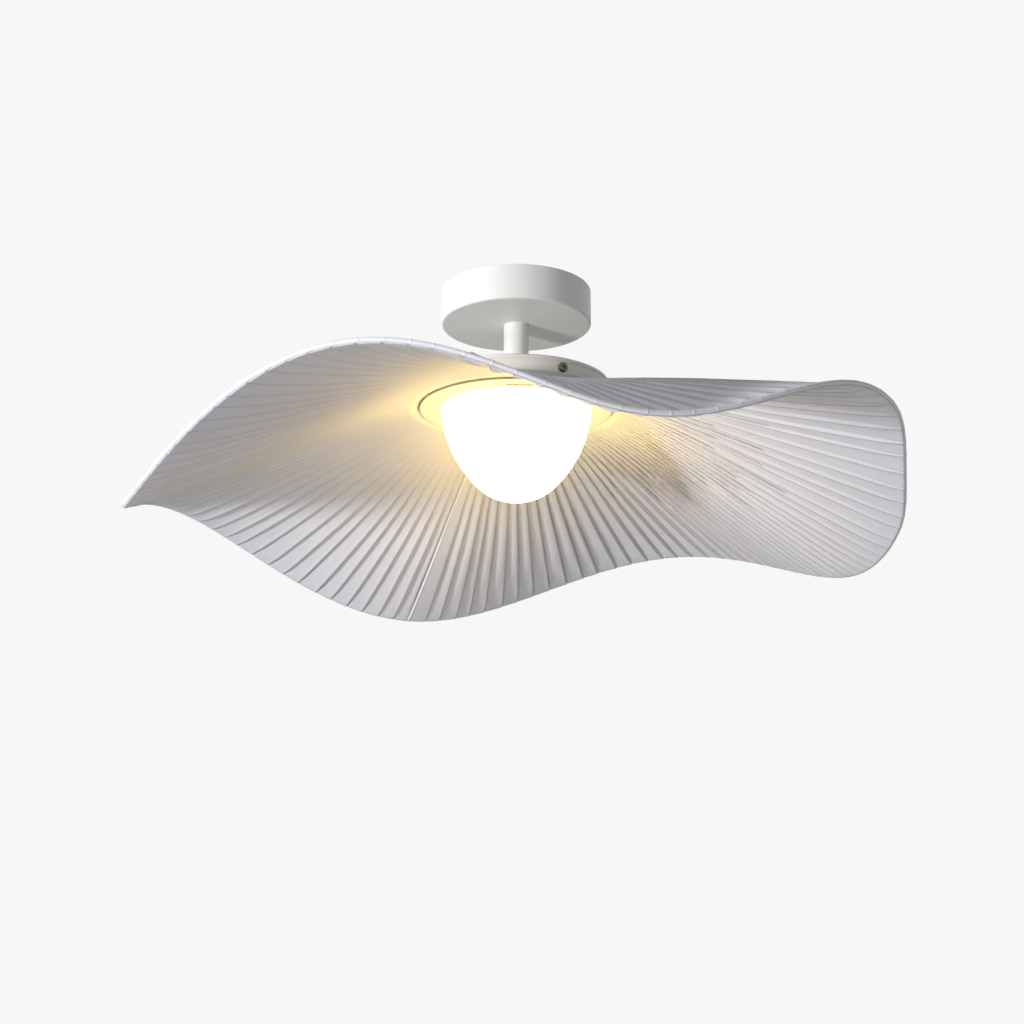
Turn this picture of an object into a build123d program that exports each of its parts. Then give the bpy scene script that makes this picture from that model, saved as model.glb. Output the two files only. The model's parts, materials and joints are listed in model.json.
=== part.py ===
from build123d import *
import os
from math import asin, cos, degrees, pi, radians, sin, sqrt

# A ceiling light with a waved, pleated cloth shade. Millimetres, +Z up.
# The origin is the centre of the plane where the canopy and its bracket meet the ceiling.
# An azimuth is measured in degrees from the front, which is -Y, towards +X.

# How far a cut runs past the face it goes through
PAST = 1.0

# Clearances
SEAT_GAP = 0.3
SHADE_RING_GAP = 0.6
THREAD_GAP = 0.1
HOLE_GAP = 0.25
WIRE_GAP = 0.2

# Canopy and stem
SHEET = 1.2
CANOPY_R = 60.0
CANOPY_H = 28.2
CANOPY_EDGE_R = 1.8
STEM_R = 10.0
STEM_L = 49.5
ROD_R = 5.0
ROD_BORE_R = 3.5
ROD_PAST_NUT = 2.0
BUSH_L = 4.0
BUSH_FLANGE_T = 1.0
NUT_FLATS = 17.0
NUT_H = 5.0
WASHER_R = 9.0
WASHER_T = 1.2

# Screws
M4_R = 2.0
M4_HEAD_R = 3.85
M4_HEAD_H = 2.4
M3_R = 1.5
M3_HEAD_R = 2.75
M3_HEAD_H = 1.9

# Ceiling bracket and terminal block
BRACKET_W = 24.0
BRACKET_T = 1.5
TAB_W = 16.0
TAB_DROP = 14.0
SLOT_SPACING = 60.0
SLOT_L = 13.0
SLOT_R = 2.5
CABLE_HOLE_R = 8.0
CANOPY_SCREW_DROP = 8.0
CANOPY_SCREW_HEAD_R = 3.4
CANOPY_SCREW_HEAD_H = 1.7
CANOPY_SCREW_SINK = 0.2
CANOPY_SCREW_L = 8.0
TONGUE_W = 33.0
TONGUE_Y = -33.5
BLOCK = (31.0, 14.0, 13.0)
BLOCK_EDGE_R = 1.5
BLOCK_Y = -25.0
POLE_PITCH = 9.0
POLE_R = 1.7
POLE_DROP = 5.5
POLE_SCREW_Y = 3.5
SCREW_SINK = 1.0
DRIVER_SLOT_W = 0.5
DRIVER_SLOT_D = 0.7
CONDUCTOR_PAST = 1.5
EARTH_SCREW_X = 46.0

# Driver and wires
DRIVER = (60.0, 31.0, 17.0)
DRIVER_Y = 29.0
DRIVER_EDGE_R = 2.0
LID_SEAM_H = 0.6
LID_SEAM_DEPTH = 0.5
LID_HEIGHT_SHARE = 0.5
TAPE = (44.0, 20.0, 1.0)
MAINS_WIRE_R = 1.1
LED_WIRE_R = 0.8
WIRE_SINK = 3.0
DRIVER_EXIT_Z = -14.0
LIVE_EXIT_Y = 20.0
NEUTRAL_EXIT_Y = 26.0
PLUS_EXIT_Y = 20.0
MINUS_EXIT_Y = 26.0
LED_WIRE_Y = 1.1
LED_SOCKET_Y = 2.0

# Body
PAN_R = 74.2
PAN_H = 19.9
PAN_SHOULDER_R = 1.6
PAN_GROOVE_DROP = 3.4
PAN_GROOVE_W = 0.9
PAN_GROOVE_D = 0.8
LIP_REACH = 2.0
LIP_T = 1.5
COLLAR_T = 1.5
COLLAR_H = 14.2
SIDE_SCREW_AZIMUTH = 28.0
SIDE_SCREW_DROP = 8.5
SIDE_SCREW_SEAT = 0.05
SIDE_SCREW_PAST = 3.0

# Light source
BOARD_IN_R = 16.0
BOARD_OUT_R = 50.0
BOARD_T = 1.6
SPACER_H = 6.0
SPACER_FLATS = 5.5
BOARD_SCREW_R = 46.0
BOARD_SCREW_L = 7.0
CHIP_RINGS = ((28.0, 12), (38.0, 18))
CHIP = (3.5, 2.8, 0.8)
CONNECTOR = (7.5, 9.0, 4.0)
CONNECTOR_X = 21.5

# Diffuser
GLASS_R = 60.0
GLASS_T = 2.5
GLASS_TIP_R = 44.0
GLASS_SIDE_R = 98.5
GLASS_DROP = 14.0
GLASS_BULGE_RISE = 1.0
SEAL_T = 1.3
RING_WALL = 0.8
RING_FLANGE_W = 4.8
LUG_SPAN = 14.0
LUG_W = 4.1
LUG_T = 1.5
LUG_AZIMUTH = 29.0
NOTCH_PLAY = 2.0
TWIST = 27.0
STOP_SPAN = 3.0
STOP_PLAY = 0.5
STOP_INSET = 0.6
STOP_H = 3.5

# Shade: the cloth runs from the inner ring to the rim wire, which rises and falls
CLOTH_RUN = 238.5
CLOTH_T = 0.8
PLEATS = 120
PLEAT_SHARE = 0.76
PLEAT_DEPTH_IN = 3.0
PLEAT_DEPTH_OUT = 1.0
RIM_MEAN_DROP = 85.9
# Each wave of the rim: how many in a turn, height, azimuth of a low point
RIM_WAVES = (
    (1, 10.0, 154), (2, 4.5, 94), (3, 13.5, 85), (4, 23.8, 17.2), (5, 5.1, 11.3), (6, 4.1, 18.4), (7, 2.1, 18.5),
)
# Where the cloth is cut longer or shorter: how much, azimuth, and how far it goes to each side
RUN_TRIMS = ((-4.7, 68, 14),)
RIM_STEPS = 120
RIM_WIRE_R = 1.5
BINDING_T = 0.6
BINDING_FROM = -140.0
BINDING_TO = 50.0
HOLD_RING_REACH = 1.4
HOLD_RING_WALL = 1.0
HOLD_RING_FLANGE_T = 1.2
HOLD_RING_H = 4.5
RIB_COUNT = 6
RIB_AZIMUTH = 55.0
RIB_R = 0.8
RIB_TAIL = 1.5
RIB_END_INSET = 1.3

# Places that follow from the sizes above
CANOPY_FLOOR = -CANOPY_H + SHEET
PAN_TOP = -CANOPY_H - STEM_L
PAN_CEILING = PAN_TOP - SHEET
LIP_TOP = PAN_TOP - PAN_H
LIP_R = PAN_R + LIP_REACH
COLLAR_R = PAN_R - SHEET - SEAT_GAP
UPPER_NUT_LOW = CANOPY_FLOOR + WASHER_T
ROD_TOP = UPPER_NUT_LOW + NUT_H + ROD_PAST_NUT
LOWER_NUT_LOW = PAN_CEILING - WASHER_T - NUT_H
ROD_LOW = LOWER_NUT_LOW - ROD_PAST_NUT
TAB_X = sqrt((CANOPY_R - SHEET - SEAT_GAP) ** 2 - (TAB_W / 2) ** 2)
POLE_Z = -BRACKET_T - POLE_DROP
BLOCK_LOW = -BRACKET_T - BLOCK[2]
BLOCK_SCREW_SEAT = BLOCK_LOW + M3_HEAD_H + SCREW_SINK
BOARD_LOW = PAN_CEILING - SPACER_H - BOARD_T
SOCKET_Z = BOARD_LOW - CONNECTOR[2] / 2
GLASS_TOP = PAN_TOP - GLASS_DROP
BULGE_Z = GLASS_TOP + GLASS_BULGE_RISE
RING_IN_R = GLASS_R + SEAT_GAP
RING_OUT_R = RING_IN_R + RING_WALL
TRAY_HOLE_R = RING_OUT_R + SEAT_GAP
LUG_OUT_R = TRAY_HOLE_R + LUG_W
HOLD_RING_OUT_R = LIP_R + HOLD_RING_REACH
CLOTH_IN_R = HOLD_RING_OUT_R + SEAT_GAP
CLOTH_IN_Z = LIP_TOP + HOLD_RING_H - PLEAT_DEPTH_IN / 2 - CLOTH_T / 2


def at(radius, azimuth, z=0.0):
    return Vector(radius * sin(radians(azimuth)), -radius * cos(radians(azimuth)), z)


def disc(radius, low, high):
    return Pos(0, 0, (low + high) / 2) * Cylinder(radius, high - low)


def tube(outer, inner, low, high):
    return disc(outer, low, high) - disc(inner, low - PAST, high + PAST)


def outwards(radius, azimuth, z, shape):
    # A shape built along +Z, turned to point away from the stem
    return Plane(origin=at(radius, azimuth, z), z_dir=at(1, azimuth), x_dir=(0, 0, 1)) * shape


def head_down(x, y, z, shape):
    return Pos(x, y, z) * Rot(180, 0, 0) * shape


def hexagon(flats, low, high):
    return Pos(0, 0, low) * extrude(RegularPolygon(flats / 2, 6, major_radius=False), high - low)


def group(shapes):
    return Compound(children=[solid for shape in shapes for solid in Part([shape]).solids()])


def cup(radius, height, edge_r):
    # Turned sheet with its floor at z = 0, open at the top
    outer = disc(radius, 0, height)
    outer = fillet(outer.faces().sort_by(Axis.Z)[0].edges(), edge_r)
    inside = disc(radius - SHEET, SHEET, height + PAST)
    inside = fillet(inside.faces().sort_by(Axis.Z)[0].edges(), edge_r - SHEET)
    return outer - inside


def wedge(inner, outer, azimuth, span, low, high):
    # A block of a ring, centred on an azimuth
    half = radians(span / 2)
    x, y = 2 * outer * sin(half), -2 * outer * cos(half)
    sector = make_face(Polyline((0, 0), (x, y), (-x, y), close=True))
    cutter = Pos(0, 0, low - PAST) * extrude(sector, high - low + 2 * PAST)
    return tube(outer, inner, low, high) & (Rot(0, 0, azimuth) * cutter)


def cross_recess(width, depth):
    blade = Box(width, width / 5, depth * 2)
    return blade + Rot(0, 0, 90) * blade


def pan_head(head_r, head_h, shank_r, shank_l):
    # Head above z = 0, shank below
    head = disc(head_r, 0, head_h)
    head = fillet(head.faces().sort_by(Axis.Z)[-1].edges(), head_h * 0.45)
    head = head - Pos(0, 0, head_h) * cross_recess(head_r, head_h / 2)
    return head + disc(shank_r, -shank_l, 0)


def m4_screw(shank_l):
    return pan_head(M4_HEAD_R, M4_HEAD_H, M4_R - THREAD_GAP, shank_l)


def m3_screw(shank_l):
    return pan_head(M3_HEAD_R, M3_HEAD_H, M3_R - THREAD_GAP, shank_l)


def canopy():
    shell = Pos(0, 0, -CANOPY_H) * cup(CANOPY_R, CANOPY_H, CANOPY_EDGE_R)
    shell = shell - disc(ROD_R + HOLE_GAP, -CANOPY_H - PAST, 0)
    sink = Cone(M4_R + HOLE_GAP, CANOPY_SCREW_HEAD_R + HOLE_GAP, CANOPY_SCREW_HEAD_H)
    for azimuth in (90, 270):
        shell = shell - outwards(CANOPY_R - CANOPY_SCREW_HEAD_H / 2, azimuth, -CANOPY_SCREW_DROP, sink)
    return shell


def canopy_side_screws():
    head = Cone(M4_R, CANOPY_SCREW_HEAD_R, CANOPY_SCREW_HEAD_H)
    head = head - Pos(0, 0, CANOPY_SCREW_HEAD_H / 2) * cross_recess(M4_R * 1.7, CANOPY_SCREW_HEAD_H / 2)
    screw = head + disc(M4_R - THREAD_GAP, -CANOPY_SCREW_L, -CANOPY_SCREW_HEAD_H / 2)
    seat = CANOPY_R - CANOPY_SCREW_SINK - CANOPY_SCREW_HEAD_H / 2
    return group([outwards(seat, azimuth, -CANOPY_SCREW_DROP, screw) for azimuth in (90, 270)])


def mounting_bracket():
    strip = Pos(0, 0, -BRACKET_T / 2) * Box(2 * TAB_X, BRACKET_W, BRACKET_T)
    strip = strip & disc(CANOPY_R - SHEET - SEAT_GAP, -BRACKET_T, 0)
    strip = strip + Pos(0, TONGUE_Y / 2, -BRACKET_T / 2) * Box(TONGUE_W, -TONGUE_Y, BRACKET_T)
    slot = extrude(SlotOverall(SLOT_L, 2 * SLOT_R), BRACKET_T * 2)
    thread = Rot(0, 90, 0) * Cylinder(M4_R, BRACKET_T * 3)
    for side in (-1, 1):
        tab_x = side * (TAB_X - BRACKET_T / 2)
        strip = strip + Pos(tab_x, 0, -TAB_DROP / 2) * Box(BRACKET_T, TAB_W, TAB_DROP)
        strip = strip - Pos(tab_x, 0, -CANOPY_SCREW_DROP) * thread
        strip = strip - Pos(side * SLOT_SPACING / 2, 0, -BRACKET_T * 1.5) * slot
    strip = strip - disc(CABLE_HOLE_R, -BRACKET_T - PAST, PAST)
    strip = strip - Pos(EARTH_SCREW_X, 0, 0) * disc(M4_R, -BRACKET_T - PAST, PAST)
    return strip - Pos(POLE_PITCH / 2, BLOCK_Y, 0) * disc(M3_R, -BRACKET_T - PAST, PAST)


def pole_x(pole):
    return pole * POLE_PITCH


def terminal_block():
    length, width, height = BLOCK
    body = Pos(0, BLOCK_Y, BLOCK_LOW + height / 2) * Box(length, width, height)
    body = fillet(body.edges().filter_by(Axis.Z), BLOCK_EDGE_R)
    way = Rot(90, 0, 0) * Cylinder(POLE_R, width + 2 * PAST)
    well = disc(M3_R + HOLE_GAP, BLOCK_LOW - PAST, POLE_Z)
    for pole in (-1, 0, 1):
        body = body - Pos(pole_x(pole), BLOCK_Y, POLE_Z) * way
        for side in (-1, 1):
            body = body - Pos(pole_x(pole), BLOCK_Y + side * POLE_SCREW_Y, 0) * well
    post = disc(M3_R + HOLE_GAP, BLOCK_LOW - PAST, 0)
    sink = disc(M3_HEAD_R + HOLE_GAP, BLOCK_LOW - PAST, BLOCK_SCREW_SEAT)
    return body - Pos(POLE_PITCH / 2, BLOCK_Y, 0) * (post + sink)


def terminal_screws():
    low = BLOCK_LOW + SCREW_SINK
    screw = disc(M3_R, low, POLE_Z - MAINS_WIRE_R)
    screw = screw - Pos(0, 0, low) * Box(M3_R * 3, DRIVER_SLOT_W, 2 * DRIVER_SLOT_D)
    spots = [(pole_x(pole), BLOCK_Y + side * POLE_SCREW_Y) for pole in (-1, 0, 1) for side in (-1, 1)]
    return group([Pos(x, y, 0) * screw for x, y in spots])


def block_screw():
    shank = -BLOCK_SCREW_SEAT - THREAD_GAP
    return head_down(POLE_PITCH / 2, BLOCK_Y, BLOCK_SCREW_SEAT, m3_screw(shank))


def earth_screw():
    seat = -BRACKET_T - 2 * MAINS_WIRE_R
    return head_down(EARTH_SCREW_X, 0, seat, m4_screw(-seat - THREAD_GAP))


def threaded_rod():
    return tube(ROD_R, ROD_BORE_R, ROD_LOW, ROD_TOP)


def rod_bushes():
    hole = LED_WIRE_Y + LED_WIRE_R + WIRE_GAP
    insert = tube(ROD_BORE_R - THREAD_GAP, hole, -BUSH_L, 0)
    bush = insert + tube(ROD_R, hole, 0, BUSH_FLANGE_T)
    return group([Pos(0, 0, ROD_TOP) * bush, head_down(0, 0, ROD_LOW, bush)])


def nut(low):
    high = low + NUT_H
    return hexagon(NUT_FLATS, low, high) - disc(ROD_R + THREAD_GAP, low - PAST, high + PAST)


def washer(low):
    return tube(WASHER_R, ROD_R + HOLE_GAP, low, low + WASHER_T)


def stem_tube():
    return tube(STEM_R, ROD_R + HOLE_GAP, PAN_TOP, -CANOPY_H)


def thirds(first):
    return [first + i * 120 for i in range(3)]


def body_pan():
    shell = Pos(0, 0, PAN_TOP) * Rot(180, 0, 0) * cup(PAN_R, PAN_H, PAN_SHOULDER_R)
    shell = shell - disc(ROD_R + HOLE_GAP, PAN_CEILING - PAST, PAN_TOP + PAST)
    high = PAN_TOP - PAN_GROOVE_DROP
    low = high - PAN_GROOVE_W
    bead_r = PAN_R - SHEET
    shell = shell + tube(bead_r, bead_r - PAN_GROOVE_D, low - PAN_GROOVE_D, high + PAN_GROOVE_D)
    shell = shell - tube(PAN_R + PAST, PAN_R - PAN_GROOVE_D, low, high)
    hole = Cylinder(M4_R + HOLE_GAP, SHEET * 6)
    for azimuth in thirds(SIDE_SCREW_AZIMUTH):
        shell = shell - outwards(PAN_R, azimuth, PAN_TOP - SIDE_SCREW_DROP, hole)
    return shell


def side_screws():
    screw = m4_screw(SHEET + SEAT_GAP + COLLAR_T + SIDE_SCREW_PAST)
    seat = PAN_R + SIDE_SCREW_SEAT
    return group([outwards(seat, a, PAN_TOP - SIDE_SCREW_DROP, screw) for a in thirds(SIDE_SCREW_AZIMUTH)])


def base_tray():
    plate = tube(LIP_R, TRAY_HOLE_R, LIP_TOP - LIP_T, LIP_TOP)
    plate = plate + tube(COLLAR_R, COLLAR_R - COLLAR_T, LIP_TOP, LIP_TOP + COLLAR_H)
    thread = Cylinder(M4_R, COLLAR_T * 4)
    for azimuth in thirds(SIDE_SCREW_AZIMUTH):
        plate = plate - outwards(COLLAR_R, azimuth, PAN_TOP - SIDE_SCREW_DROP, thread)
    notch_span = LUG_SPAN + 2 * NOTCH_PLAY
    for azimuth in thirds(LUG_AZIMUTH):
        # Turned anticlockwise, seen from below, each lug comes over its notch
        notch = azimuth - TWIST
        low, high = LIP_TOP - LIP_T - PAST, LIP_TOP + PAST
        plate = plate - wedge(TRAY_HOLE_R - PAST, LUG_OUT_R + SEAT_GAP, notch, notch_span, low, high)
        locked_stop = azimuth + (LUG_SPAN + STOP_SPAN) / 2 + STOP_PLAY
        stop_in_r = TRAY_HOLE_R + STOP_INSET
        plate = plate + wedge(stop_in_r, LUG_OUT_R, locked_stop, STOP_SPAN, LIP_TOP, LIP_TOP + STOP_H)
    return plate


def board_spots():
    return [at(BOARD_SCREW_R, azimuth) for azimuth in thirds(0)]


def board_spacers():
    spacer = hexagon(SPACER_FLATS, PAN_CEILING - SPACER_H, PAN_CEILING)
    spacer = spacer - disc(M3_R, PAN_CEILING - SPACER_H - PAST, PAN_CEILING + PAST)
    return group([Pos(*spot) * spacer for spot in board_spots()])


def led_board():
    board = tube(BOARD_OUT_R, BOARD_IN_R, BOARD_LOW, BOARD_LOW + BOARD_T)
    hole = disc(M3_R + HOLE_GAP, BOARD_LOW - PAST, BOARD_LOW + BOARD_T + PAST)
    for spot in board_spots():
        board = board - Pos(*spot) * hole
    return board


def led_chips():
    length, width, height = CHIP
    chips = []
    for radius, count in CHIP_RINGS:
        for i in range(count):
            azimuth = (i + 0.5) * 360 / count
            spot = at(radius, azimuth, BOARD_LOW - height / 2)
            chips.append(Pos(*spot) * Rot(0, 0, azimuth) * Box(length, width, height))
    return group(chips)


def board_connector():
    depth, width, height = CONNECTOR
    body = Pos(CONNECTOR_X, 0, SOCKET_Z) * Box(depth, width, height)
    socket = Rot(0, 90, 0) * Cylinder(LED_WIRE_R + WIRE_GAP, depth)
    for side in (-1, 1):
        body = body - Pos(CONNECTOR_X - depth / 2, side * LED_SOCKET_Y, SOCKET_Z) * socket
    return body


def board_screws():
    screw = m3_screw(BOARD_SCREW_L)
    return group([head_down(spot.X, spot.Y, BOARD_LOW, screw) for spot in board_spots()])


def egg(inset, mouth_z):
    # Half of an egg's outline, turned: a long side arc that runs into a tighter one at the tip
    side_r = GLASS_SIDE_R - inset
    side_x = GLASS_R - GLASS_SIDE_R
    tip_z = BULGE_Z - sqrt((GLASS_SIDE_R - GLASS_TIP_R) ** 2 - side_x**2)
    lean = degrees(asin((BULGE_Z - tip_z) / (GLASS_SIDE_R - GLASS_TIP_R)))
    start = degrees(asin((mouth_z - BULGE_Z) / side_r))
    side = CenterArc((side_x, BULGE_Z), side_r, start, -lean - start)
    tip = CenterArc((0, tip_z), GLASS_TIP_R - inset, -lean, lean - 90)
    axis = Line(tip @ 1, (0, mouth_z))
    mouth = Line((0, mouth_z), side @ 0)
    return revolve(Plane.XZ * make_face([side, tip, axis, mouth]), Axis.Z)


def diffuser_glass():
    return egg(0, GLASS_TOP) - egg(GLASS_T, GLASS_TOP + PAST / 2)


def glass_seal():
    return tube(GLASS_R, GLASS_R - GLASS_T, GLASS_TOP, GLASS_TOP + SEAL_T)


def diffuser_ring():
    top = GLASS_TOP + SEAL_T
    ring = tube(RING_OUT_R, RING_IN_R, LIP_TOP - LIP_T, top)
    ring = ring + tube(RING_OUT_R, RING_OUT_R - RING_WALL - RING_FLANGE_W, top, top + RING_WALL)
    for azimuth in thirds(LUG_AZIMUTH):
        ring = ring + wedge(RING_IN_R + RING_WALL / 2, LUG_OUT_R, azimuth, LUG_SPAN, LIP_TOP, LIP_TOP + LUG_T)
    return ring


def led_driver():
    length, width, height = DRIVER
    low = CANOPY_FLOOR + TAPE[2]
    case = Pos(0, DRIVER_Y, low + height / 2) * Box(length, width, height)
    case = fillet(case.edges().filter_by(Axis.Z), DRIVER_EDGE_R)
    deep = 2 * LID_SEAM_DEPTH
    seam = Box(length + deep, width + deep, LID_SEAM_H) - Box(length - deep, width - deep, 2 * LID_SEAM_H)
    case = case - Pos(0, DRIVER_Y, low + height * LID_HEIGHT_SHARE) * seam
    exit_hole = Rot(0, 90, 0) * Cylinder(MAINS_WIRE_R + WIRE_GAP, WIRE_SINK * 2)
    for x, y in ((-1, LIVE_EXIT_Y), (-1, NEUTRAL_EXIT_Y), (1, PLUS_EXIT_Y), (1, MINUS_EXIT_Y)):
        case = case - Pos(x * length / 2, y, DRIVER_EXIT_Z) * exit_hole
    return case


def driver_tape():
    length, width, height = TAPE
    return Pos(0, DRIVER_Y, CANOPY_FLOOR + height / 2) * Box(length, width, height)


def wire(points, radii, radius):
    path = FilletPolyline(*points, radius=radii)
    solid = sweep(Plane(origin=path @ 0, z_dir=path % 0) * Circle(radius), path)
    share = solid.volume / (pi * radius**2 * path.length)
    print(f"  run {path.length:.1f} mm, volume over section times run {share:.4f}")
    return solid


def driver_mouth(side, y):
    return (side * (DRIVER[0] / 2 - WIRE_SINK + WIRE_GAP), y, DRIVER_EXIT_Z)


def pole_run(pole, y):
    # The last straight run into the block's front side, ending past the clamping screw
    return [(pole_x(pole), y, POLE_Z), (pole_x(pole), BLOCK_Y - CONDUCTOR_PAST, POLE_Z)]


def wire_live():
    z = DRIVER_EXIT_Z
    points = [driver_mouth(-1, LIVE_EXIT_Y), (-40, LIVE_EXIT_Y, z), (-40, -22, z)] + pole_run(-1, -42)
    return wire(points, [5, 8, 5], MAINS_WIRE_R)


def wire_neutral():
    z = DRIVER_EXIT_Z
    points = [driver_mouth(-1, NEUTRAL_EXIT_Y), (-45, NEUTRAL_EXIT_Y, z), (-45, -24, z)] + pole_run(0, -50)
    return wire(points, [6, 12, 6], MAINS_WIRE_R)


def wire_earth():
    x = EARTH_SCREW_X - M4_R - MAINS_WIRE_R - WIRE_GAP
    z = -BRACKET_T - MAINS_WIRE_R
    points = pole_run(1, -43)[::-1] + [(x, -30, z), (x, 1.5, z)]
    return wire(points, [5, 8], MAINS_WIRE_R)


def led_wire(side, exit_y, x):
    # Round to the stem's axis, down the rod and up into the board's connector
    z = DRIVER_EXIT_Z
    y = side * LED_WIRE_Y
    socket_y = side * LED_SOCKET_Y
    low = ROD_LOW - BUSH_FLANGE_T - 3.4
    points = [driver_mouth(1, exit_y), (x, exit_y, z), (x, y, z), (0, y, z), (0, y, low)]
    points += [(9, socket_y, low), (13.5, socket_y, SOCKET_Z), (CONNECTOR_X - 1, socket_y, SOCKET_Z)]
    return wire(points, [5, 6, 4, 2.8, 2, 2], LED_WIRE_R)


def rim_drop(azimuth):
    return RIM_MEAN_DROP + sum(h * cos(radians(n * (azimuth - low))) for n, h, low in RIM_WAVES)


def rim_run(azimuth):
    run = CLOTH_RUN
    for trim, middle, half in RUN_TRIMS:
        aside = abs(azimuth % 360 - middle) / half
        if aside < 1:
            run += trim * cos(pi / 2 * aside) ** 2
    return run


def rim_point(azimuth):
    drop = rim_drop(azimuth)
    return at(CLOTH_IN_R + sqrt(rim_run(azimuth) ** 2 - drop**2), azimuth, CLOTH_IN_Z - drop)


def run_point(azimuth, share, lift=0.0):
    # A point on the cloth's middle surface, from the inner ring (0) to the rim wire (1)
    inner = at(CLOTH_IN_R, azimuth, CLOTH_IN_Z)
    return inner + (rim_point(azimuth) - inner) * share + Vector(0, 0, lift)


def lofted_ring(sections):
    # Four ruled quarters, joined where their ends are flat
    quarter = len(sections) // 4
    quarters = []
    for q in range(4):
        run = [sections[(q * quarter + i) % len(sections)] for i in range(quarter + 1)]
        quarters.append(Solid.make_loft(run, ruled=True))
    return quarters[0].fuse(*quarters[1:]).clean()


def cloth_section(azimuth, side):
    # side is 1 on a fold's crest and -1 in its valley
    cloth_end = 1 - (RIM_WIRE_R + BINDING_T + WIRE_GAP + SEAT_GAP) / CLOTH_RUN
    corners = []
    for share, way in ((0, -1), (cloth_end, -1), (cloth_end, 1), (0, 1)):
        depth = PLEAT_DEPTH_IN + (PLEAT_DEPTH_OUT - PLEAT_DEPTH_IN) * share
        corners.append(run_point(azimuth, share, side * depth / 2 + way * CLOTH_T / 2))
    return Wire.make_polygon(corners)


def shade_fabric():
    step = 360 / PLEATS
    sections = []
    for i in range(PLEATS):
        sections.append(cloth_section(i * step, -1))
        sections.append(cloth_section((i + PLEAT_SHARE) * step, 1))
    return lofted_ring(sections)


def rim_plane(azimuth):
    # Across the rim wire, with x pointing outwards and y up
    along = (rim_point(azimuth + 0.5) - rim_point(azimuth - 0.5)).normalized()
    outward = at(1, azimuth)
    return Plane(origin=rim_point(azimuth), x_dir=outward - along * outward.dot(along), z_dir=along * -1)


def rim_azimuths():
    return [i * 360 / RIM_STEPS for i in range(RIM_STEPS)]


def shade_rim_wire():
    return lofted_ring([Wire.make_circle(RIM_WIRE_R, rim_plane(azimuth)) for azimuth in rim_azimuths()])


def binding_section():
    # A strip of cloth bent round the wire, open where the pleated cloth comes in from above
    inner = RIM_WIRE_R + WIRE_GAP
    outer = inner + BINDING_T
    half = (BINDING_TO - BINDING_FROM) / 2
    starts = (BINDING_FROM, BINDING_FROM + half)
    arcs = [CenterArc((0, 0), r, start, half) for r in (inner, outer) for start in starts]
    ends = [Line(arcs[0] @ 0, arcs[2] @ 0), Line(arcs[1] @ 1, arcs[3] @ 1)]
    return Wire(Curve(children=arcs + ends).edges())


def shade_rim_binding():
    section = binding_section()
    return lofted_ring([rim_plane(azimuth) * section for azimuth in rim_azimuths()])


def shade_inner_ring():
    flange_in_r = PAN_R + SHADE_RING_GAP
    flange = tube(HOLD_RING_OUT_R, flange_in_r, LIP_TOP, LIP_TOP + HOLD_RING_FLANGE_T)
    return flange + tube(HOLD_RING_OUT_R, HOLD_RING_OUT_R - HOLD_RING_WALL, LIP_TOP, LIP_TOP + HOLD_RING_H)


def shade_ribs():
    ribs = []
    lift = RIB_R + WIRE_GAP
    over_cloth = (PLEAT_DEPTH_OUT + CLOTH_T) / 2 + lift
    for i in range(RIB_COUNT):
        azimuth = RIB_AZIMUTH + i * 360 / RIB_COUNT
        steepness = rim_drop(azimuth) / CLOTH_RUN
        over_ring = at(HOLD_RING_OUT_R, azimuth, LIP_TOP + HOLD_RING_H + lift / sqrt(1 - steepness**2))
        end = run_point(azimuth, 1 - RIB_END_INSET / CLOTH_RUN, over_cloth)
        run = (end - over_ring).normalized()
        start = over_ring - run * RIB_TAIL
        middle = (start + end) * 0.5
        ribs.append(Plane(origin=middle, z_dir=run) * Cylinder(RIB_R, (end - start).length))
    return group(ribs)


MAKERS = {
    "canopy": canopy,
    "canopy_side_screws": canopy_side_screws,
    "mounting_bracket": mounting_bracket,
    "terminal_block": terminal_block,
    "terminal_screws": terminal_screws,
    "block_screw": block_screw,
    "earth_screw": earth_screw,
    "threaded_rod": threaded_rod,
    "rod_bushes": rod_bushes,
    "upper_washer": lambda: washer(CANOPY_FLOOR),
    "upper_nut": lambda: nut(UPPER_NUT_LOW),
    "stem_tube": stem_tube,
    "lower_washer": lambda: washer(PAN_CEILING - WASHER_T),
    "lower_nut": lambda: nut(LOWER_NUT_LOW),
    "body_pan": body_pan,
    "side_screws": side_screws,
    "base_tray": base_tray,
    "board_spacers": board_spacers,
    "led_board": led_board,
    "led_chips": led_chips,
    "board_connector": board_connector,
    "board_screws": board_screws,
    "diffuser_glass": diffuser_glass,
    "glass_seal": glass_seal,
    "diffuser_ring": diffuser_ring,
    "led_driver": led_driver,
    "driver_tape": driver_tape,
    "wire_live": wire_live,
    "wire_neutral": wire_neutral,
    "wire_earth": wire_earth,
    "wire_led_plus": lambda: led_wire(1, PLUS_EXIT_Y, 36),
    "wire_led_minus": lambda: led_wire(-1, MINUS_EXIT_Y, 41),
    "shade_inner_ring": shade_inner_ring,
    "shade_ribs": shade_ribs,
    "shade_rim_wire": shade_rim_wire,
    "shade_rim_binding": shade_rim_binding,
    "shade_fabric": shade_fabric,
}

os.makedirs("parts", exist_ok=True)
for name, make in MAKERS.items():
    print(name)
    export_step(make(), f"parts/{name}.step")
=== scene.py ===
import json
from math import cos, pi, radians, sin, sqrt

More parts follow.
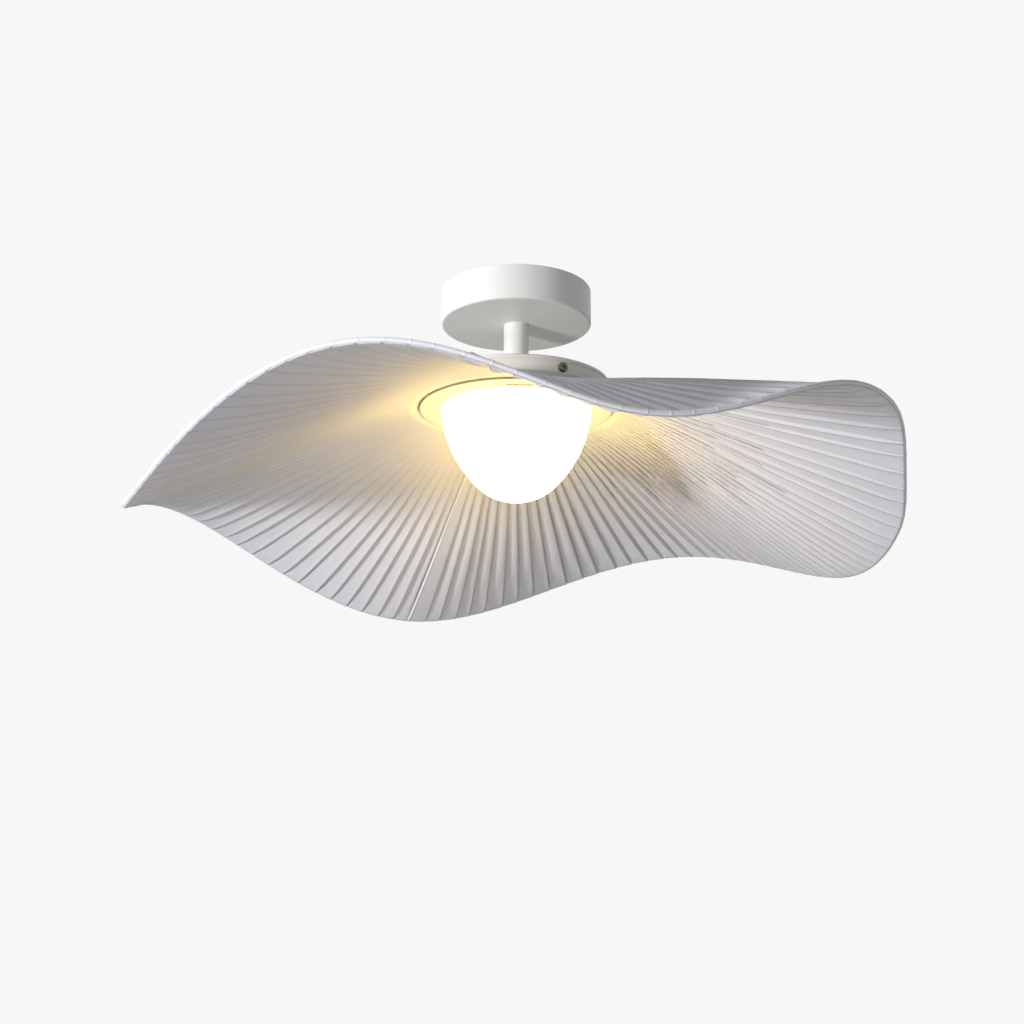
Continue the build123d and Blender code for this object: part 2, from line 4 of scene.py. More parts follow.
import bmesh
import bpy
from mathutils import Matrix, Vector


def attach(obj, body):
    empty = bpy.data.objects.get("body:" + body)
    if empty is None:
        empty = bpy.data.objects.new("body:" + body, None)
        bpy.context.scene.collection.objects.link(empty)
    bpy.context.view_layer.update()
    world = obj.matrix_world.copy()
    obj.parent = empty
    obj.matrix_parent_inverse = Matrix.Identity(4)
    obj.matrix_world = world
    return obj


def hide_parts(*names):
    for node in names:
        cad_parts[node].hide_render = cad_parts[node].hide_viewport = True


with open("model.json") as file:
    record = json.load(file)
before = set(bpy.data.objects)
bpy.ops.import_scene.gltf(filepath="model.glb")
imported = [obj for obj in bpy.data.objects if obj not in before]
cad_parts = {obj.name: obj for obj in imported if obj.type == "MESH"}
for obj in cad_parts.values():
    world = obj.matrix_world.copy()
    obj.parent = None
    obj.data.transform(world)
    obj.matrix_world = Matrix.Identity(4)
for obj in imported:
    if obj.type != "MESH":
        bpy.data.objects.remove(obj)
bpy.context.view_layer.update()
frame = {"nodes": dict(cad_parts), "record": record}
nodes = frame["nodes"]
mm = 0.001  # sizes below are in millimetres, and Blender's are in metres
print("frame loaded,", len(nodes), "nodes")


# View, at the photograph's angle: from in front and below, looking up
view = {
    "distance": 1177.3,
    "belowCeiling": 477.78,
    "tiltUp": 14.109,  # degrees
    "lens": 54.84,
    "shiftX": -0.0041,
    "farthest": 60,  # metres
}
cameraData = bpy.data.cameras.new("photoCamera")
cameraData.lens = view["lens"]
cameraData.shift_x = view["shiftX"]
cameraData.clip_end = view["farthest"]
camera = bpy.data.objects.new("photoCamera", cameraData)
camera.location = (0, -view["distance"] * mm, -view["belowCeiling"] * mm)
camera.rotation_euler = (radians(90 + view["tiltUp"]), 0, 0)
bpy.context.scene.collection.objects.link(camera)
bpy.context.scene.camera = camera
bpy.context.scene.view_settings.view_transform = "Standard"


# Points. An azimuth is in degrees from the front, which is -Y, towards +X
def around(radius, azimuth, z=0.0):
    return Vector((radius * sin(radians(azimuth)), -radius * cos(radians(azimuth)), z))


wobbleMix = {"number": 12.9898, "kind": 78.233, "spread": 43758.5453}


def wobble(i, kind):
    # A steady value between -1 and 1 for each pleat, the same on every run
    angle = i * wobbleMix["number"] + kind * wobbleMix["kind"]
    return 2 * ((sin(angle) * wobbleMix["spread"]) % 1) - 1


# Node helpers
def fillInputs(tree, node, inputs):
    # A socket is linked, and anything else is the input's own value
    for key, value in inputs.items():
        if isinstance(value, bpy.types.NodeSocket):
            tree.links.new(value, node.inputs[key])
        else:
            node.inputs[key].default_value = value
    return node


def addNode(tree, kind, settings=None, inputs=None):
    node = tree.nodes.new("ShaderNode" + kind)
    for key, value in (settings or {}).items():
        setattr(node, key, value)
    return fillInputs(tree, node, inputs or {})


def maths(tree, operation, first, second=0.0):
    return addNode(tree, "Math", {"operation": operation}, {0: first, 1: second}).outputs[0]


def ramp(tree, value, start, end, low=0.0, high=1.0):
    # From low where the value is start, to high where it is end
    inputs = {0: value, 1: start, 2: end, 3: low, 4: high}
    return addNode(tree, "MapRange", None, inputs).outputs[0]


def mixColours(tree, share, first, second, blend="MIX"):
    settings = {"data_type": "RGBA", "blend_type": blend}
    return addNode(tree, "Mix", settings, {0: share, 6: first, 7: second}).outputs[2]


def choose(tree, condition, ifNot, ifSo):
    inputs = {0: condition, 2: ifNot, 3: ifSo}
    return addNode(tree, "Mix", {"data_type": "FLOAT"}, inputs).outputs[0]


def noise(tree, place, scale, detail):
    inputs = {"Vector": place, "Scale": scale, "Detail": detail}
    return addNode(tree, "TexNoise", None, inputs).outputs["Fac"]


def clothMap(tree):
    # The cloth's own UV map, about in metres: across its pleats (X) and along its run (Y)
    place = addNode(tree, "UVMap", {"uv_map": "cloth"}).outputs["UV"]
    return place, addNode(tree, "SeparateXYZ", None, {"Vector": place}).outputs


def newGroup(name, inputs, outputs):
    group = bpy.data.node_groups.new(name, "ShaderNodeTree")
    face = group.interface
    for socketName, kind, value in inputs:
        socket = face.new_socket(socketName, in_out="INPUT", socket_type="NodeSocket" + kind)
        socket.default_value = value
    for socketName, kind in outputs:
        face.new_socket(socketName, in_out="OUTPUT", socket_type="NodeSocket" + kind)
    return group, group.nodes.new("NodeGroupInput"), group.nodes.new("NodeGroupOutput")


def useGroup(tree, group, inputs):
    node = tree.nodes.new("ShaderNodeGroup")
    node.node_tree = group
    return fillInputs(tree, node, inputs)


def newMaterial(name, shaderInputs):
    material = bpy.data.materials.new(name)
    material.use_nodes = True
    shader = material.node_tree.nodes["Principled BSDF"]
    fillInputs(material.node_tree, shader, shaderInputs)
    return material, material.node_tree, shader


# Fine grain: the skin of a moulded or powder coated part
grainLook = {
    "scale": 900.0,
    "waviness": 0.35,
    "broad": 0.12,  # scale of its waves, as a share of its own
    "patches": 14.0,  # scale of the patches of colour
}


def makeGrainGroup():
    group, given, result = newGroup(
        "fineGrain",
        [("Scale", "Float", grainLook["scale"]), ("Waviness", "Float", grainLook["waviness"])],
        [("Height", "Float"), ("Patches", "Float")],
    )
    place = addNode(group, "TexCoord").outputs["Object"]
    fine = noise(group, place, given.outputs["Scale"], detail=2.0)
    wide = maths(group, "MULTIPLY", given.outputs["Scale"], grainLook["broad"])
    broad = noise(group, place, wide, detail=1.0)
    share = maths(group, "MULTIPLY", broad, given.outputs["Waviness"])
    group.links.new(maths(group, "ADD", fine, share), result.inputs["Height"])
    patches = noise(group, place, grainLook["patches"], detail=3.0)
    group.links.new(patches, result.inputs["Patches"])
    return group


# Plain weave, on the cloth's UV map
weaveLook = {
    "thread": 0.0004,  # metres
    "slub": 0.5,
    "drift": 120.0,  # scale of the thread's thick and thin places
    "patches": 9.0,
}


def makeWeaveGroup():
    group, given, result = newGroup(
        "plainWeave",
        [("Thread", "Float", weaveLook["thread"]), ("Slub", "Float", weaveLook["slub"])],
        [("Height", "Float"), ("Patches", "Float")],
    )
    place, split = clothMap(group)
    turns = maths(group, "DIVIDE", pi, given.outputs["Thread"])
    along = maths(group, "SINE", maths(group, "MULTIPLY", split["X"], turns))
    across = maths(group, "SINE", maths(group, "MULTIPLY", split["Y"], turns))
    warp, weft = maths(group, "ABSOLUTE", along), maths(group, "ABSOLUTE", across)
    weftOver = maths(group, "GREATER_THAN", maths(group, "MULTIPLY", along, across), 0.0)
    thread = choose(group, weftOver, warp, weft)
    drift = noise(group, place, weaveLook["drift"], detail=2.0)
    slub = maths(group, "MULTIPLY", drift, given.outputs["Slub"])
    group.links.new(maths(group, "ADD", thread, slub), result.inputs["Height"])
    patches = noise(group, place, weaveLook["patches"], detail=3.0)
    group.links.new(patches, result.inputs["Patches"])
    return group


# Two colours mixed by a mask, and a roughness that follows the same mask
mottleLook = {
    "first": 0.35,  # the mask where it is all the first colour
    "second": 0.65,
}


def makeMottleGroup():
    group, given, result = newGroup(
        "mottle",
        [
            ("Mask", "Float", 0.5),
            ("Colour", "Color", (0.8, 0.8, 0.8, 1)),
            ("Second colour", "Color", (0.7, 0.7, 0.7, 1)),
            ("Roughness", "Float", 0.4),
            ("Roughness swing", "Float", 0.1),
        ],
        [("Colour", "Color"), ("Roughness", "Float")],
    )
    share = ramp(group, given.outputs["Mask"], mottleLook["first"], mottleLook["second"])
    colour = mixColours(group, share, given.outputs["Colour"], given.outputs["Second colour"])
    group.links.new(colour, result.inputs["Colour"])
    swing = maths(group, "MULTIPLY", share, given.outputs["Roughness swing"])
    roughness = maths(group, "ADD", given.outputs["Roughness"], swing)
    group.links.new(roughness, result.inputs["Roughness"])
    return group


grainGroup = makeGrainGroup()
weaveGroup = makeWeaveGroup()
mottleGroup = makeMottleGroup()


def finish(tree, shader, mask, height, look):
    # Colour and roughness from the mottle, and a bump from the height
    mottle = useGroup(tree, mottleGroup, {
        "Mask": mask,
        "Colour": look["colour"] + (1,),
        "Second colour": look["secondColour"] + (1,),
        "Roughness": look["roughness"],
        "Roughness swing": look["swing"],
    })
    tree.links.new(mottle.outputs["Colour"], shader.inputs["Base Color"])
    tree.links.new(mottle.outputs["Roughness"], shader.inputs["Roughness"])
    bump = addNode(tree, "Bump", None, {
        "Height": height, "Strength": look["bump"], "Distance": look["bumpDepth"],
    })
    tree.links.new(bump.outputs["Normal"], shader.inputs["Normal"])


def grainedMaterial(name, look, shaderInputs=None):
    material, tree, shader = newMaterial(name, shaderInputs or {})
    grain = useGroup(tree, grainGroup, {
        "Scale": look["grain"], "Waviness": look.get("waviness", grainLook["waviness"]),
    })
    finish(tree, shader, grain.outputs["Patches"], grain.outputs["Height"], look)
    return material


def tint(colour, factor):
    return tuple(min(1.0, c * factor) for c in colour)


def moulded(name, colour, roughness=0.42, grain=1400.0, bump=0.12):
    return grainedMaterial(name, {
        "colour": colour, "secondColour": tint(colour, 0.93),
        "roughness": roughness, "swing": 0.08,
        "grain": grain, "bump": bump, "bumpDepth": 0.0002,
    })


def plated(name, colour, roughness=0.26, grain=700.0):
    return grainedMaterial(name, {
        "colour": colour, "secondColour": tint(colour, 0.8),
        "roughness": roughness, "swing": 0.16,
        "grain": grain, "bump": 0.15, "bumpDepth": 0.0002, "waviness": 1.0,
    }, {"Metallic": 1.0})


def powderCoat(name, colour):
    return grainedMaterial(name, {
        "colour": colour, "secondColour": tint(colour, 0.975),
        "roughness": 0.38, "swing": 0.07,
        "grain": 1500.0, "bump": 0.1, "bumpDepth": 0.0003,
    }, {"Coat Weight": 0.15, "Coat Roughness": 0.3})


def wovenMaterial(name, look):
    sheen = {"Sheen Weight": look["sheen"], "Sheen Roughness": look["sheenRoughness"]}
    material, tree, shader = newMaterial(name, sheen)
    weave = useGroup(tree, weaveGroup, {"Thread": look["thread"], "Slub": look["slub"]})
    finish(tree, shader, weave.outputs["Patches"], weave.outputs["Height"], look)
    return material


# The pleats, which both the cloth's material and its shape follow
pleats = {
    "count": 120,
    "cloth": 18.6,  # in each, at the rim, and less towards the ring, as in sunray pleating
}
# Painted shade: the cloth's colour is darkened in the recess at each pleat's crest and the fold beside
# it, where three layers lie over each other
layers = {
    "step": 0.1,  # share of a pleat from its crest to its end
    "crest": (0.74, 0.88),  # places across a pleat where the dark of its crest begins and is full
    "valley": (0.15, 0.27),  # and where that of the fold beside it fades and is gone
    "run": (0.012, 0.07),  # from the ring, where it begins and is full, in the UV map's metres
    "slack": (0.03, 0.1),  # shares of the turn from the back, where it is least and full
    "slackShare": 0.35,  # of it that is left at the back, where the pleats hang slack
    "colour": (0.42, 0.40, 0.41, 1),
    "strength": 0.6,
}


# Painted shade at the folds: the cloth's colour is multiplied darker by this mask, with none at the
# ring and less at the back
def paintFoldShade(tree, shader):
    across, along = clothMap(tree)[1][:2]
    pleat = maths(tree, "DIVIDE", across, pleats["cloth"] * mm)
    place = maths(tree, "FRACT", maths(tree, "ADD", pleat, layers["step"]))
    crest = ramp(tree, place, *layers["crest"])
    fading = ramp(tree, place, *layers["valley"], low=1.0, high=0.0)
    pastCrest = maths(tree, "GREATER_THAN", place, layers["step"])
    fold = maths(tree, "MAXIMUM", crest, maths(tree, "MULTIPLY", fading, pastCrest))
    run = ramp(tree, along, *layers["run"])
    turn = maths(tree, "DIVIDE", across, pleats["count"] * pleats["cloth"] * mm)
    fromBack = maths(tree, "ABSOLUTE", maths(tree, "SUBTRACT", turn, 0.5))
    tight = ramp(tree, fromBack, *layers["slack"], low=layers["slackShare"])
    full = maths(tree, "MULTIPLY", tight, layers["strength"])
    share = maths(tree, "MULTIPLY", maths(tree, "MULTIPLY", fold, run), full)
    plain = shader.inputs["Base Color"].links[0].from_socket
    # The painted shade, multiplied into the cloth's colour
    dark = mixColours(tree, share, plain, layers["colour"], blend="MULTIPLY")
    tree.links.new(dark, shader.inputs["Base Color"])


def shadeCloth():
    material = wovenMaterial("pleatedCloth", {
        "colour": (0.60, 0.60, 0.643), "secondColour": (0.583, 0.583, 0.625),
        "roughness": 0.62, "swing": 0.1, "sheen": 0.15, "sheenRoughness": 0.4,
        "thread": 0.0004, "slub": 0.6, "bump": 0.25, "bumpDepth": 0.0002,
    })
    paintFoldShade(material.node_tree, material.node_tree.nodes["Principled BSDF"])
    return material


# Painted highlight: the binding is the same cloth as the pleats, given a lighter colour that stands in
# for the light the rim's bead catches
def bindingCloth():
    return wovenMaterial("bindingCloth", {
        "colour": (0.76, 0.755, 0.79), "secondColour": (0.73, 0.725, 0.76),
        "roughness": 0.6, "swing": 0.1, "sheen": 0.15, "sheenRoughness": 0.4,
        "thread": 0.0004, "slub": 0.6, "bump": 0.3, "bumpDepth": 0.0002,
    })


# The glass's light, with its heights in metres
glow = {
    "colour": (1.0, 0.67, 0.16),
    "strength": 12.8,
    "neck": -0.095,  # where the glass leaves the tray
    "neckShare": 0.2,  # of the light there
    "full": -0.128,  # below which it is fully lit
}


def litGlass():
    material, tree, shader = newMaterial("litOpalGlass", {
        "Emission Strength": glow["strength"], "Coat Weight": 0.2,
    })
    place = addNode(tree, "TexCoord").outputs["Object"]
    height = addNode(tree, "SeparateXYZ", None, {"Vector": place}).outputs["Z"]
    lit = ramp(tree, height, glow["neck"], glow["full"])
    faint = tint(glow["colour"], glow["neckShare"]) + (1,)
    light = mixColours(tree, lit, faint, glow["colour"] + (1,))
    tree.links.new(light, shader.inputs["Emission Color"])
    grain = useGroup(tree, grainGroup, {"Scale": 500.0})
    finish(tree, shader, grain.outputs["Patches"], grain.outputs["Height"], {
        "colour": (0.93, 0.92, 0.90), "secondColour": (0.91, 0.90, 0.88),
        "roughness": 0.35, "swing": 0.05, "bump": 0.03, "bumpDepth": 0.0002,
    })
    return material


materials = {
    "white_paint": powderCoat("whitePowderCoat", (0.83, 0.83, 0.80)),
    # Darker and warmer than the canopy's white, on the body and the tray: the darkening is partly
    # painted shade, for the body under the canopy and the tray beside the glass
    "pan_paint": powderCoat("warmCoatAndPaintedShade", (0.78, 0.745, 0.67)),
    # Dark bronze on the shade's inner ring, which also stands in for the shade in the gap between the
    # tray's lip and the cloth: painted shade
    "ring_lacquer": moulded("bronzeLacquerAndGapShade", (0.10, 0.075, 0.045), roughness=0.35),
    "flush_screw": moulded("paintedHead", (0.82, 0.825, 0.81), roughness=0.36),
    "zinc_steel": plated("zincPlate", (0.66, 0.67, 0.66)),
    "dark_screw": plated("darkNickel", (0.12, 0.105, 0.09), roughness=0.3),
    "brass": plated("brass", (0.74, 0.56, 0.24), roughness=0.24),
    "terminal_plastic": moulded("terminalPlastic", (0.83, 0.81, 0.75)),
    "bush_plastic": moulded("bushPlastic", (0.045, 0.045, 0.045), roughness=0.5),
    "driver_plastic": moulded("driverPlastic", (0.8, 0.8, 0.8), roughness=0.5, grain=900.0, bump=0.3),
    "foam_tape": moulded("foamTape", (0.06, 0.06, 0.065), roughness=0.85, grain=2500.0, bump=0.8),
    "board_mask": moulded("boardMask", (0.86, 0.87, 0.84), roughness=0.3),
    "led_phosphor": moulded("phosphor", (0.87, 0.66, 0.12), roughness=0.35),
    "connector_plastic": moulded("connectorPlastic", (0.85, 0.85, 0.8), roughness=0.4),
    "opal_glass": litGlass(),
    "seal_silicone": moulded("siliconeSeal", (0.75, 0.75, 0.74), roughness=0.55),
    "ring_plastic": moulded("ringPlastic", (0.84, 0.84, 0.82), roughness=0.4),
    "insulation_brown": moulded("brownInsulation", (0.11, 0.04, 0.02), roughness=0.4),
    "insulation_blue": moulded("blueInsulation", (0.02, 0.08, 0.35), roughness=0.4),
    "insulation_green": moulded("greenInsulation", (0.1, 0.3, 0.04), roughness=0.4),
    "insulation_red": moulded("redInsulation", (0.42, 0.02, 0.02), roughness=0.4),
    "insulation_black": moulded("blackInsulation", (0.03, 0.03, 0.03), roughness=0.4),
    "shade_wire": moulded("coatedWire", (0.80, 0.80, 0.80), roughness=0.35),
    "shade_cloth": shadeCloth(),
    "binding_cloth": bindingCloth(),
}
slotOf = {part["node"]: part["material_slot"] for part in frame["record"]["subparts"]}
for name, node in nodes.items():
    node.data.materials.clear()
    node.data.materials.append(materials[slotOf[name]])
print("materials made,", len(materials))


# The shade's shape, as the frame has it
shade = {
    "ringRadius": 77.9,
    "ringHeight": -95.0,
    "run": 238.5,
    "meanDrop": 85.9,
    # Each wave of the rim: how many in a turn, height, azimuth of a low point
    "waves": (
        (1, 10.0, 154), (2, 4.5, 94), (3, 13.5, 85), (4, 23.8, 17.2),
        (5, 5.1, 11.3), (6, 4.1, 18.4), (7, 2.1, 18.5),
    ),
    # Where the cloth is cut shorter: how much, azimuth, and how far it goes to each side
    "trim": (-4.7, 68, 14),
    "cutShare": 0.66,  # of a rectangle as long as the rim's cloth
    "thickness": 0.5,
    "rows": 36,
    "crowding": 1.4,  # of the rows towards the rim, where 1 is even
    "turnUp": (0.2, 2.6),  # how far out and how high the inner end stands, against the ring
    "widthSwing": 0.09,
    "depthSwing": 0.2,
    # The pleats are drawn tight, but hang slack round this azimuth, as far as this to each side
    "slack": (180, 27),
    "slackFade": 1.5,  # how quickly that ends, where 1 is all the way from its middle
    "drawnFrom": 0.76,  # along the run, where the slack ones are drawn tight too
    "drawnOver": 0.2,
    # Along the run, from the ring (0) to the rim (1): depths of the pleats, height of the ridge
    # that each fold makes on the outer side, and rise of the crests
    "slackDepths": ((0, 0.3), (0.12, 0.7), (0.3, 3.0), (0.55, 4.4), (0.8, 3.9), (0.94, 2.2), (1, 0.25)),
    "drawnDepths": ((0, 0.3), (0.12, 0.5), (0.3, 1.7), (0.55, 2.8), (0.8, 2.7), (0.94, 1.8), (1, 0.25)),
    "ridges": ((0, 0.1), (0.2, 0.3), (0.4, 1.2), (0.6, 1.6), (0.95, 1.4), (1, 0.5)),
    "crests": ((0, -2.5), (0.08, 0.3), (0.2, 2.0), (0.35, 2.0), (0.65, 0.1), (1, -1.95)),
    # One pleat seen from below: place across it, then its height from the lowest fold (-1) to the
    # crest (1), where it is slack and where it is drawn tight, and its share of the ridge
    "profile": (
        (0, -0.75, -0.80, -0.35), (0.04, -0.90, -1.0, -0.4), (0.12, -1.0, -0.88, 0),
        (0.30, -0.92, -0.50, 0), (0.50, -0.55, -0.08, 0), (0.68, 0.05, 0.30, 0),
        (0.82, 0.65, 0.60, 0), (0.905, 0.95, 0.78, 0), (0.93, 1.0, 0.85, 1), (0.965, 0.7, 0.85, 1),
    ),
    "slackRidge": 0.15,  # share of the ridge that the slack ones have
}
seam = {
    "pleat": 67,
    "groove": (1.4, 1.2),  # heights of the first places beyond the seam
    "flat": -0.95,  # height of the pleat before it
    "width": 2.3,
    "reach": 0.1,  # how much of that goes past the fold
    "thickness": 0.4,
    # Across the tape, its rise from the fold, towards the outer side
    "section": (0.3, -0.3, -0.55, -0.65, -0.5, 0.4, 2.0),
}
beside = 0.5  # degrees to each side of a point, where the direction through it is measured
mergeWithin = 0.00001  # metres


def rimPoint(azimuth):
    waves = sum(h * cos(radians(n * (azimuth - low))) for n, h, low in shade["waves"])
    drop = shade["meanDrop"] + waves
    run = shade["run"]
    trim, middle, half = shade["trim"]
    aside = abs(azimuth % 360 - middle) / half
    if aside < 1:
        run += trim * cos(pi / 2 * aside) ** 2
    out = sqrt(run**2 - drop**2)
    return around(shade["ringRadius"] + out, azimuth, shade["ringHeight"] - drop)


def runPoint(azimuth, share):
    # On the cloth's middle surface, from the ring (0) to the rim (1)
    inner = around(shade["ringRadius"], azimuth, shade["ringHeight"])
    return inner + (rimPoint(azimuth) - inner) * share


def clothNormal(azimuth, share):
    across = runPoint(azimuth + beside, share) - runPoint(azimuth - beside, share)
    along = rimPoint(azimuth) - runPoint(azimuth, 0)
    return across.cross(along).normalized() * -1


def eased(value):
    value = min(1.0, max(0.0, value))
    return value * value * (3 - 2 * value)


def slopeAt(points, i):
    before, after = points[max(i - 1, 0)], points[min(i + 1, len(points) - 1)]
    return (after[1] - before[1]) / (after[0] - before[0])


def valueAt(points, place):
    # On a smooth curve through the points of a list
    i = max(k for k in range(len(points) - 1) if k == 0 or points[k][0] < place)
    (start, first), (end, second) = points[i], points[i + 1]
    part = min(1.0, (place - start) / (end - start))
    leave = part * (1 - part) ** 2 * slopeAt(points, i)
    arrive = -part**2 * (1 - part) * slopeAt(points, i + 1)
    return first + (second - first) * eased(part) + (leave + arrive) * (end - start)


def pleatStart(pleat):
    # Azimuth of the fold where a pleat starts
    swing = shade["widthSwing"] * wobble(pleat % pleats["count"], 1)
    return (pleat + swing) * 360 / pleats["count"]


def pleatPlace(station):
    # Pleat number, step of the profile and azimuth of a station around the shade
    pleat, step = divmod(station, len(shade["profile"]))
    start, end = pleatStart(pleat), pleatStart(pleat + 1)
    return pleat % pleats["count"], step, start + (end - start) * shade["profile"][step][0]


def drawn(azimuth, share):
    # 1 where the pleats are drawn tight, 0 where they hang slack
    middle, half = shade["slack"]
    slack = eased(shade["slackFade"] - shade["slackFade"] * abs(azimuth - middle) / half)
    return 1 - slack * (1 - eased((share - shade["drawnFrom"]) / shade["drawnOver"]))


def pleatHeight(pleat, step, tight):
    slackHeight, drawnHeight = shade["profile"][step][1:3]
    if pleat == seam["pleat"] - 1:
        return seam["flat"]
    if pleat == seam["pleat"] and step < len(seam["groove"]):
        return seam["groove"][step]
    return slackHeight + (drawnHeight - slackHeight) * tight


def ridgeHeight(pleat, step, share, tight):
    if pleat == seam["pleat"] - 1:
        return 0
    ridge = valueAt(shade["ridges"], share) * shade["profile"][step][3]
    return ridge * (shade["slackRidge"] + (1 - shade["slackRidge"]) * tight)


def runShare(row):
    # Along the run. The first row is the turned up end, and the next one starts at the ring
    left = 1 - max(0, row - 1) / (shade["rows"] - 1)
    return 1 - left ** shade["crowding"]


def gridPiece(name, columns, rows, placeOf, clothSize, closedRows=False):
    # A grid whose points are moved by a function, with its ends merged and a UV map in metres
    mesh = bpy.data.meshes.new(name)
    bm = bmesh.new()
    uvLayer = bm.loops.layers.uv.new("cloth")
    bmesh.ops.create_grid(bm, x_segments=columns, y_segments=rows, size=1, calc_uvs=True)
    for face in bm.faces:
        for loop in face.loops:
            u, v = loop[uvLayer].uv
            loop[uvLayer].uv = (u * clothSize[0] * mm, v * clothSize[1] * mm)
    for vertex in bm.verts:
        column = round((vertex.co.x + 1) / 2 * columns)
        row = round((vertex.co.y + 1) / 2 * rows)
        vertex.co = placeOf(column, row) * mm
    bmesh.ops.remove_doubles(bm, verts=bm.verts, dist=mergeWithin)
    if closedRows:
        bmesh.ops.recalc_face_normals(bm, faces=bm.faces)
    for face in bm.faces:
        face.smooth = True
    bm.to_mesh(mesh)
    bm.free()
    piece = bpy.data.objects.new(name, mesh)
    bpy.context.scene.collection.objects.link(piece)
    return piece


def addThickness(piece, thickness):
    solid = piece.modifiers.new("thickness", "SOLIDIFY")
    solid.thickness = thickness * mm
    solid.offset = 0


def outfit(piece, slotName, body, *replaced):
    piece.data.materials.append(materials[slotName])
    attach(piece, body)
    if replaced:
        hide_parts(*replaced)


# Pleated cloth, from the ring to the rim, where it laps round the lower side of the binding
binding = {
    "radius": 1.6,
    "tick": 0.2,  # how far each pleat's fold stands out under the binding
    # Along one pleat, the share of the tick
    "ticks": (
        (0, 0), (0.02, 1), (0.08, 1), (0.1, 0), (0.12, 0), (0.3, 0), (0.53, 0), (0.76, 0), (0.98, 0),
    ),
    "sides": 16,
}
lap = {
    "past": 1.0,  # beyond the rim wire's middle
    "clear": 0.3,  # from the binding
}


def clothPlace(column, row):
    pleat, step, azimuth = pleatPlace(column)
    if row == 0:
        out, rise = shade["turnUp"]
        return around(shade["ringRadius"] + out, azimuth, shade["ringHeight"] + rise)
    share = runShare(row) * (1 + lap["past"] / shade["run"])
    tight = drawn(azimuth, share)
    slackDepth = valueAt(shade["slackDepths"], share)
    drawnDepth = valueAt(shade["drawnDepths"], share)
    depth = slackDepth + (drawnDepth - slackDepth) * tight
    depth *= 1 + shade["depthSwing"] * wobble(pleat, 2)
    left = (1 - share) * shade["run"]
    outer = binding["radius"] + lap["clear"]
    curl = outer - sqrt(outer**2 - min(left, 0.0) ** 2)
    crest = valueAt(shade["crests"], min(1.0, share)) + curl
    below = depth * (1 - pleatHeight(pleat, step, tight)) / 2
    lift = crest - below + ridgeHeight(pleat, step, share, tight)
    return runPoint(azimuth, share) + clothNormal(azimuth, min(1.0, share)) * lift


columns = pleats["count"] * len(shade["profile"])
clothWidth = pleats["count"] * pleats["cloth"]
cloth = gridPiece("shade_pleated_cloth", columns, shade["rows"], clothPlace,
                  (clothWidth, shade["run"]))
addThickness(cloth, shade["thickness"])
outfit(cloth, "shade_cloth", "shade", "shade_fabric")
print("cloth made,", len(cloth.data.vertices), "points")


# Binding round the rim wire, drawn over the pleats' ends
def bindingPlace(column, row):
    pleat, step = divmod(column, len(binding["ticks"]))
    place, fold = binding["ticks"][step]
    azimuth = pleatStart(pleat) + (pleatStart(pleat + 1) - pleatStart(pleat)) * place
    along = (rimPoint(azimuth + beside) - rimPoint(azimuth - beside)).normalized()
    outward = around(1, azimuth)
    outward = (outward - along * outward.dot(along)).normalized()
    up = outward.cross(along)
    if up.z < 0:
        up = -up
    angle = 2 * pi * row / binding["sides"]
    radius = binding["radius"] + binding["tick"] * fold
    return rimPoint(azimuth) + (outward * cos(angle) + up * sin(angle)) * radius


rimLength = sum((rimPoint(a + 1) - rimPoint(a)).length for a in range(360))
columns = pleats["count"] * len(binding["ticks"])
bead = gridPiece("shade_rim_bead", columns, binding["sides"], bindingPlace,
                 (rimLength, 2 * pi * binding["radius"]), closedRows=True)
outfit(bead, "binding_cloth", "shade", "shade_rim_binding")
print("rim binding made, rim", round(rimLength), "mm round")


# Seam: a tape over the fold where the cloth's two ends meet, on the inner side
def seamPlace(column, row):
    share = runShare(row)
    places = len(seam["section"]) - 1
    radius = Vector(runPoint(0, share)[:2]).length
    aside = (column / places - 1) * seam["width"] + seam["reach"]
    azimuth = pleatStart(seam["pleat"]) + aside / radius * 180 / pi
    foldAt = clothPlace(seam["pleat"] * len(shade["profile"]) - 1, row)
    normal = clothNormal(azimuth, share)
    level = (foldAt - runPoint(azimuth, share)).dot(normal)
    return runPoint(azimuth, share) + normal * (level + seam["section"][column])


columns = len(seam["section"]) - 1
seamTape = gridPiece("shade_seam_tape", columns, shade["rows"], seamPlace,
                     (seam["width"], shade["run"]))
addThickness(seamTape, seam["thickness"])
# The seam's tape takes the lighter binding cloth too, a painted highlight on its ridge
outfit(seamTape, "binding_cloth", "shade")
print("seam made")


# Room: a pale floor far below, soft light, and a plain pale background
room = {
    "floorDrop": 1.6,  # metres below the ceiling
    "floorSize": 14.0,
    "floorColour": (0.8, 0.8, 0.8),
    "floorRoughness": 0.9,
    "floorLift": 0.5,  # light of its own that the camera sees
    "backdrop": 0.93,
    "ambient": (0.19, 0.19, 0.195),
    "lampsAim": (0, 0, -0.15),
}
# Azimuth, elevation and distance of each soft box from the shade, its size in metres and its power
lamps = {
    "keyBox": {
        "azimuth": 308, "elevation": -9, "distance": 2.4,
        "size": 0.3, "power": 46, "colour": (0.965, 0.975, 1),
    },
    "sideFill": {
        "azimuth": 288, "elevation": 22, "distance": 2.4,
        "size": 0.5, "power": 8, "colour": (0.98, 0.985, 1),
    },
    "frontFill": {
        "azimuth": 2, "elevation": -13, "distance": 1.9,
        "size": 0.4, "power": 4.0, "colour": (1, 1, 1),
    },
    "lowFill": {
        "azimuth": 330, "elevation": -70, "distance": 1.3,
        "size": 1.2, "power": 1.2, "colour": (0.97, 0.98, 1),
    },
    "topFill": {
        "azimuth": 300, "elevation": 48, "distance": 2.0,
        "size": 0.6, "power": 7.4, "colour": (1, 1, 0.97),
    },
}


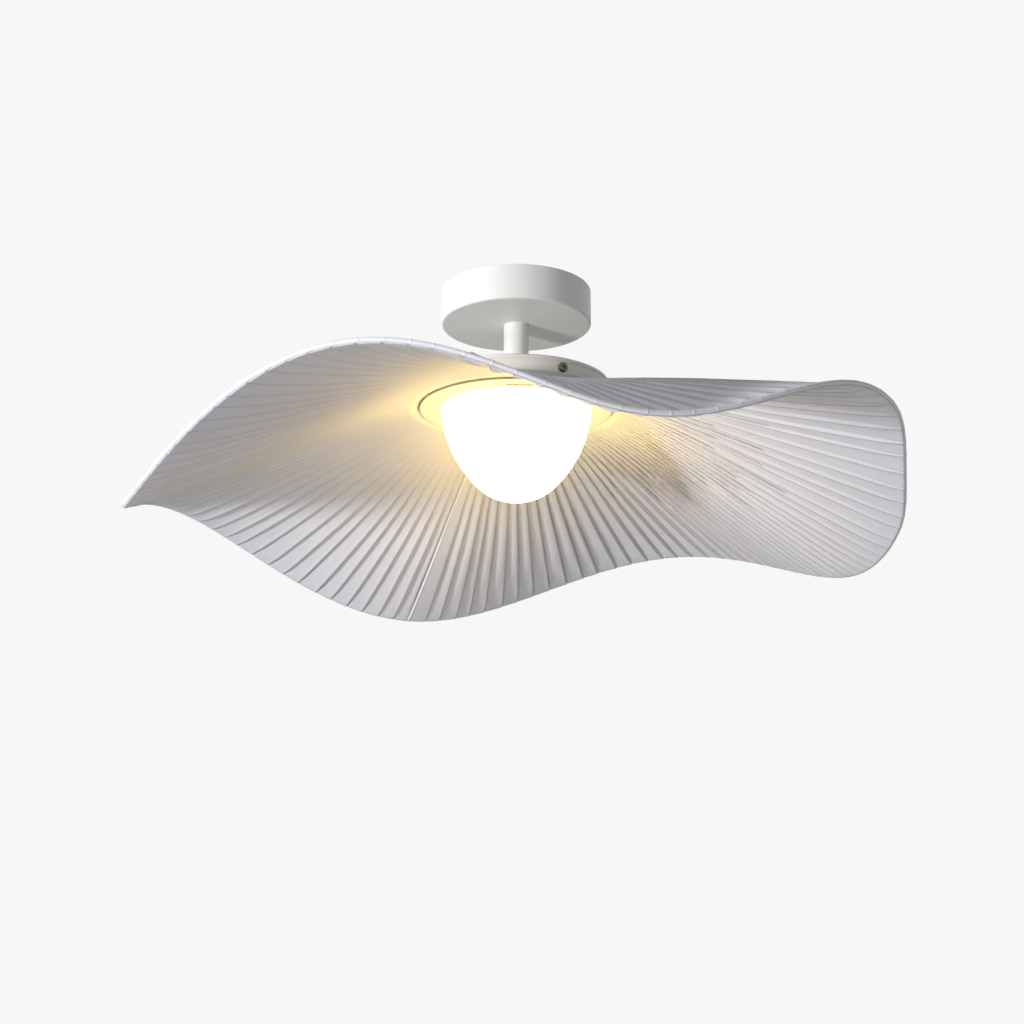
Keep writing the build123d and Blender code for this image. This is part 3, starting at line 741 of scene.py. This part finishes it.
def softBox(name, lamp):
    elevation = radians(lamp["elevation"])
    towards = around(cos(elevation), lamp["azimuth"], sin(elevation))
    data = bpy.data.lights.new(name, "AREA")
    data.shape = "SQUARE"
    data.size = lamp["size"]
    data.energy = lamp["power"]
    data.color = lamp["colour"]
    box = bpy.data.objects.new(name, data)
    box.location = Vector(room["lampsAim"]) + towards * lamp["distance"]
    box.rotation_euler = (-towards).to_track_quat("-Z", "Y").to_euler()
    bpy.context.scene.collection.objects.link(box)


def seenDirectly(tree):
    # 1 for what the camera sees, directly or in metal or glass
    path = addNode(tree, "LightPath")
    shiny = maths(tree, "MAXIMUM", path.outputs["Is Glossy Ray"], path.outputs["Is Transmission Ray"])
    return maths(tree, "MAXIMUM", path.outputs["Is Camera Ray"], shiny)


def makeFloor():
    bm = bmesh.new()
    bmesh.ops.create_grid(bm, x_segments=1, y_segments=1, size=room["floorSize"] / 2)
    for vertex in bm.verts:
        vertex.co.z = -room["floorDrop"]
    mesh = bpy.data.meshes.new("floor")
    bm.to_mesh(mesh)
    bm.free()
    floor = bpy.data.objects.new("floor", mesh)
    bpy.context.scene.collection.objects.link(floor)
    material, tree, shader = newMaterial("paleFloor", {
        "Base Color": room["floorColour"] + (1,),
        "Roughness": room["floorRoughness"],
        "Emission Color": (1, 1, 1, 1),
    })
    lift = maths(tree, "MULTIPLY", seenDirectly(tree), room["floorLift"])
    tree.links.new(lift, shader.inputs["Emission Strength"])
    mesh.materials.append(material)


def makeWorld():
    world = bpy.data.worlds.new("studio")
    bpy.context.scene.world = world
    world.use_nodes = True
    tree = world.node_tree
    tree.nodes.clear()
    ambient = room["ambient"] + (1,)
    pale = (room["backdrop"],) * 3 + (1,)
    unseen = addNode(tree, "Background", None, {"Color": ambient, "Strength": 1.0}).outputs[0]
    seen = addNode(tree, "Background", None, {"Color": pale, "Strength": 1.0}).outputs[0]
    mix = addNode(tree, "MixShader", None, {0: seenDirectly(tree), 1: unseen, 2: seen})
    output = addNode(tree, "OutputWorld")
    tree.links.new(mix.outputs[0], output.inputs["Surface"])


for name, lamp in lamps.items():
    softBox(name, lamp)
makeFloor()
makeWorld()
print("room and lamps made")
